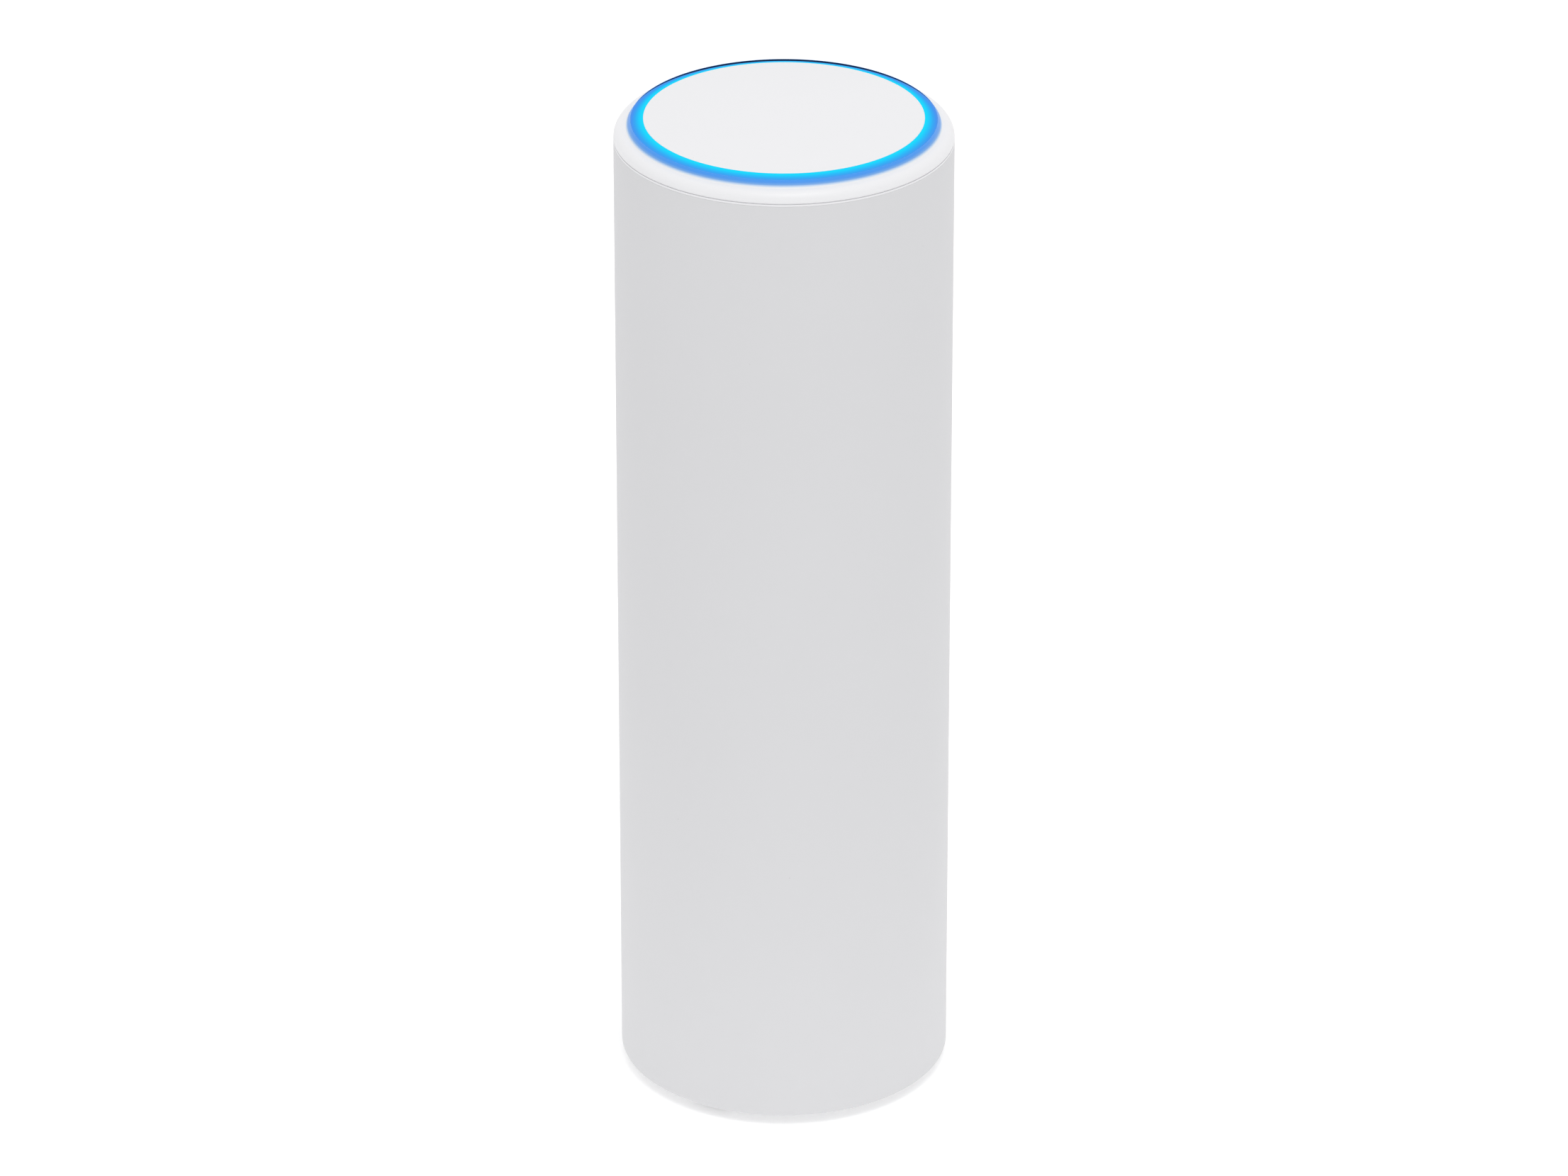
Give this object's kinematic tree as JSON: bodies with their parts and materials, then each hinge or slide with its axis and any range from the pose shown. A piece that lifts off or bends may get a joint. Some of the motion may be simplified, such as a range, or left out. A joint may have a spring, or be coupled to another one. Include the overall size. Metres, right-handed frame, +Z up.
{
  "type": "mesh wifi node",
  "caption": "Slim free-standing cylindrical wifi node with a white sleeve, a lit ring round its top disc, a network socket in a cable well in the foot and a twist-off base cover.",
  "frame": {"origin": "on the desk, under the middle of the rubber foot", "axes": "+Z up along the tube, -Y the front, +Y the side where the cable leaves"},
  "size_m": [0.0494, 0.0494, 0.154],
  "materials": {
    "sleeve_white": "satin",
    "shoulder_white": "satin",
    "disc_white": "satin",
    "ring_blue": "translucent, lit from inside",
    "seal_black": "matt",
    "baffle_white": "matt",
    "base_grey": "fine texture",
    "foot_rubber": "matt",
    "grommet_rubber": "matt",
    "chassis_black": "fine texture",
    "board_green": "solder resist",
    "led_white": "clear",
    "screw_steel": "zinc plated",
    "shell_tin": "tin plated",
    "jack_black": "moulded",
    "contact_gold": "gold plated",
    "button_grey": "moulded",
    "chip_black": "moulded",
    "ferrite_grey": "sintered",
    "can_silver": "bright",
    "pad_grey": "soft",
    "sink_aluminium": "extruded",
    "carrier_grey": "moulded",
    "antenna_copper": "copper foil",
    "lead_black": "cable sheath",
    "cable_white": "flat cable"
  },
  "bodies": {
    "housing": {"outer_sleeve": "sleeve_white", "shoulder_ring": "shoulder_white", "shoulder_o_ring": "seal_black", "light_ring": "ring_blue", "light_ring_seal": "seal_black", "top_disc": "disc_white", "light_baffle": "baffle_white", "led_board": "board_green", "led_1": "led_white", "led_2": "led_white", "led_3": "led_white", "led_4": "led_white", "led_5": "led_white", "led_6": "led_white", "led_7": "led_white", "led_8": "led_white", "led_cable": "cable_white", "base_collar": "base_grey", "chassis": "chassis_black", "base_screw_1": "screw_steel", "base_screw_2": "screw_steel", "base_screw_3": "screw_steel", "top_screw_1": "screw_steel", "top_screw_2": "screw_steel", "top_screw_3": "screw_steel", "main_board": "board_green", "jack_shell": "shell_tin", "jack_insert": "jack_black", "jack_contacts": "contact_gold", "reset_switch": "chip_black", "lan_magnetics": "chip_black", "poe_transformer": "ferrite_grey", "bulk_capacitor": "can_silver", "power_inductor": "ferrite_grey", "radio_shield_lower": "can_silver", "radio_shield_upper": "can_silver", "processor": "chip_black", "memory_chip": "chip_black", "thermal_pad": "pad_grey", "heat_sink": "sink_aluminium", "heat_sink_screw_1": "screw_steel", "heat_sink_screw_2": "screw_steel", "heat_sink_screw_3": "screw_steel", "heat_sink_screw_4": "screw_steel", "antenna_carrier": "carrier_grey", "antenna_1": "antenna_copper", "antenna_2": "antenna_copper", "antenna_3": "antenna_copper", "antenna_4": "antenna_copper", "antenna_lead_1": "lead_black", "antenna_lead_2": "lead_black", "antenna_lead_3": "lead_black", "antenna_lead_4": "lead_black"},
    "base_cover": {"base_cover": "base_grey", "foot_ring": "foot_rubber", "cable_grommet": "grommet_rubber"},
    "reset_button": {"reset_button": "button_grey"}
  },
  "joints": [
    {"name": "base_cover_twist", "type": "hinge", "parent": "housing", "child": "base_cover", "pos_m": [0, 0, 0], "axis": [0, 0, -1], "range_deg": [0, 30]},
    {"name": "reset_press", "type": "slide", "parent": "housing", "child": "reset_button", "axis": [0, 0, 1], "range_m": [0, 0.0008], "stiffness_N_per_m": 300, "springref_m": -0.001}
  ]
}
